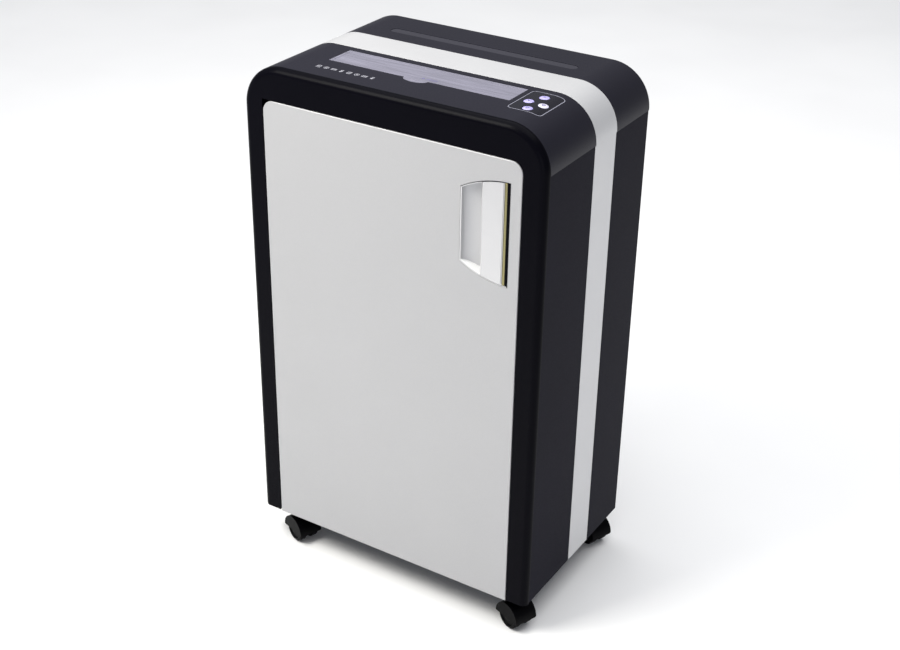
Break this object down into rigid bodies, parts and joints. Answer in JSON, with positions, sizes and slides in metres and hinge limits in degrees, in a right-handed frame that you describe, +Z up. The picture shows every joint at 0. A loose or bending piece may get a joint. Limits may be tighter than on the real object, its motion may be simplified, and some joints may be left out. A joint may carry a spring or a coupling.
{
  "type": "paper shredder",
  "caption": "Upright office paper shredder on swivel castors, with a rounded arch-shaped body, a hinged front door with a scooped handle, a hinged feed flap and a waste bin inside.",
  "frame": {"origin": "on the floor under the middle of the body's width and depth", "axes": "+Z up; the door faces -Y; the handle is towards +X"},
  "size_m": [0.4, 0.252, 0.6643],
  "materials": {
    "black_plastic": "satin black moulding",
    "bezel_black": "semi-gloss black moulding",
    "silver_door": "silver metallic paint",
    "silver_band": "pale silver paint",
    "chrome": "bright",
    "flap_tint": "smoky lilac, slightly see-through",
    "button_lilac": "milky lilac",
    "button_white": "milky white",
    "steel": "bare pressed or turned",
    "tool_steel": "hardened, oiled",
    "bronze": "sintered, oiled",
    "grey_plastic": "moulded grey",
    "board_green": "coated laminate",
    "castor_black": "moulded black",
    "motor_case": null
  },
  "bodies": {
    "cabinet": {"right_side_panel": "black_plastic", "left_side_panel": "black_plastic", "right_band_strip": "silver_band", "left_band_strip": "silver_band", "base_plate": "black_plastic", "back_panel": "black_plastic", "chassis_tray": "steel", "front_bezel": "bezel_black", "head_shell": "black_plastic", "head_band": "silver_band", "control_overlay": "black_plastic", "throat_guide": "grey_plastic", "control_board": "board_green", "flap_rod": "steel", "upper_hinge_bracket": "steel", "lower_hinge_bracket": "steel", "door_magnet": "grey_plastic", "door_switch": "grey_plastic", "front_comb": "steel", "rear_comb": "steel", "left_frame_plate": "steel", "right_frame_plate": "steel", "front_tie_rod": "steel", "rear_tie_rod": "steel", "left_front_bush": "bronze", "left_rear_bush": "bronze", "right_front_bush": "bronze", "right_rear_bush": "bronze", "reduction_axle": "steel", "drive_motor": "motor_case", "power_board": "board_green", "power_inlet": "grey_plastic", "waste_bin": "grey_plastic"},
    "door": {"door_panel": "silver_door", "door_liner": "grey_plastic", "handle_cup": "silver_door", "handle_lip": "chrome", "upper_hinge_pin": "steel", "lower_hinge_pin": "steel", "door_striker": "steel"},
    "flap": {"feed_flap": "flap_tint"},
    "rear_button": {"button_rear": "button_lilac"},
    "left_button": {"button_left": "button_lilac"},
    "front_button": {"button_front": "button_lilac"},
    "right_button": {"button_right": "button_white"},
    "rear_cutter": {"rear_cutter_shaft": "tool_steel", "rear_sync_gear": "steel", "drive_gear": "steel"},
    "front_cutter": {"front_cutter_shaft": "tool_steel", "front_sync_gear": "steel"},
    "reduction": {"reduction_gear": "steel"},
    "motor_rotor": {"motor_pinion": "steel"},
    "front_left_castor": {"front_left_castor_hood": "castor_black"},
    "front_left_wheel": {"front_left_castor_wheel": "castor_black"},
    "front_right_castor": {"front_right_castor_hood": "castor_black"},
    "front_right_wheel": {"front_right_castor_wheel": "castor_black"},
    "rear_left_castor": {"rear_left_castor_hood": "castor_black"},
    "rear_left_wheel": {"rear_left_castor_wheel": "castor_black"},
    "rear_right_castor": {"rear_right_castor_hood": "castor_black"},
    "rear_right_wheel": {"rear_right_castor_wheel": "castor_black"}
  },
  "joints": [
    {"name": "door_hinge", "type": "hinge", "parent": "cabinet", "child": "door", "pos_m": [-0.1667, -0.121, 0.048], "axis": [0, 0, -1], "range_deg": [0, 100]},
    {"name": "flap_hinge", "type": "hinge", "parent": "cabinet", "child": "flap", "pos_m": [0, -0.0242, 0.662], "axis": [-1, 0, 0], "range_deg": [0, 92]},
    {"name": "rear_button_press", "type": "slide", "parent": "cabinet", "child": "rear_button", "axis": [0, 0, -1], "range_m": [0, 0.0008], "stiffness_N_per_m": 600},
    {"name": "left_button_press", "type": "slide", "parent": "cabinet", "child": "left_button", "axis": [0, 0, -1], "range_m": [0, 0.0008], "stiffness_N_per_m": 600},
    {"name": "front_button_press", "type": "slide", "parent": "cabinet", "child": "front_button", "axis": [0, 0, -1], "range_m": [0, 0.0008], "stiffness_N_per_m": 600},
    {"name": "right_button_press", "type": "slide", "parent": "cabinet", "child": "right_button", "axis": [-0.1468, 0, -0.9892], "range_m": [0, 0.0008], "stiffness_N_per_m": 600},
    {"name": "rear_cutter_spin", "type": "hinge", "parent": "cabinet", "child": "rear_cutter", "pos_m": [0, -0.0275, 0.59], "axis": [1, 0, 0], "continuous": true},
    {"name": "front_cutter_spin", "type": "hinge", "parent": "cabinet", "child": "front_cutter", "pos_m": [0, -0.0605, 0.59], "axis": [1, 0, 0], "continuous": true},
    {"name": "reduction_spin", "type": "hinge", "parent": "cabinet", "child": "reduction", "pos_m": [0, 0.01, 0.59], "axis": [1, 0, 0], "continuous": true},
    {"name": "motor_spin", "type": "hinge", "parent": "cabinet", "child": "motor_rotor", "pos_m": [0, 0.0475, 0.59], "axis": [1, 0, 0], "continuous": true},
    {"name": "front_left_swivel", "type": "hinge", "parent": "cabinet", "child": "front_left_castor", "pos_m": [-0.165, -0.1005, 0], "axis": [0, 0, 1], "continuous": true},
    {"name": "front_left_roll", "type": "hinge", "parent": "front_left_castor", "child": "front_left_wheel", "pos_m": [-0.15333, -0.10498, 0.01679], "axis": [0.3584, 0.9336, 0], "continuous": true},
    {"name": "front_right_swivel", "type": "hinge", "parent": "cabinet", "child": "front_right_castor", "pos_m": [0.165, -0.1005, 0], "axis": [0, 0, 1], "continuous": true},
    {"name": "front_right_roll", "type": "hinge", "parent": "front_right_castor", "child": "front_right_wheel", "pos_m": [0.17667, -0.10498, 0.01679], "axis": [0.3584, 0.9336, 0], "continuous": true},
    {"name": "rear_left_swivel", "type": "hinge", "parent": "cabinet", "child": "rear_left_castor", "pos_m": [-0.165, 0.106, 0], "axis": [0, 0, 1], "continuous": true},
    {"name": "rear_left_roll", "type": "hinge", "parent": "rear_left_castor", "child": "rear_left_wheel", "pos_m": [-0.15333, 0.10152, 0.01679], "axis": [0.3584, 0.9336, 0], "continuous": true},
    {"name": "rear_right_swivel", "type": "hinge", "parent": "cabinet", "child": "rear_right_castor", "pos_m": [0.165, 0.106, 0], "axis": [0, 0, 1], "continuous": true},
    {"name": "rear_right_roll", "type": "hinge", "parent": "rear_right_castor", "child": "rear_right_wheel", "pos_m": [0.17667, 0.10152, 0.01679], "axis": [0.3584, 0.9336, 0], "continuous": true}
  ],
  "couplings": [
    {"joint": "front_cutter_spin", "follows": "rear_cutter_spin", "ratio": -1},
    {"joint": "reduction_spin", "follows": "rear_cutter_spin", "ratio": -4},
    {"joint": "motor_spin", "follows": "rear_cutter_spin", "ratio": 16}
  ]
}
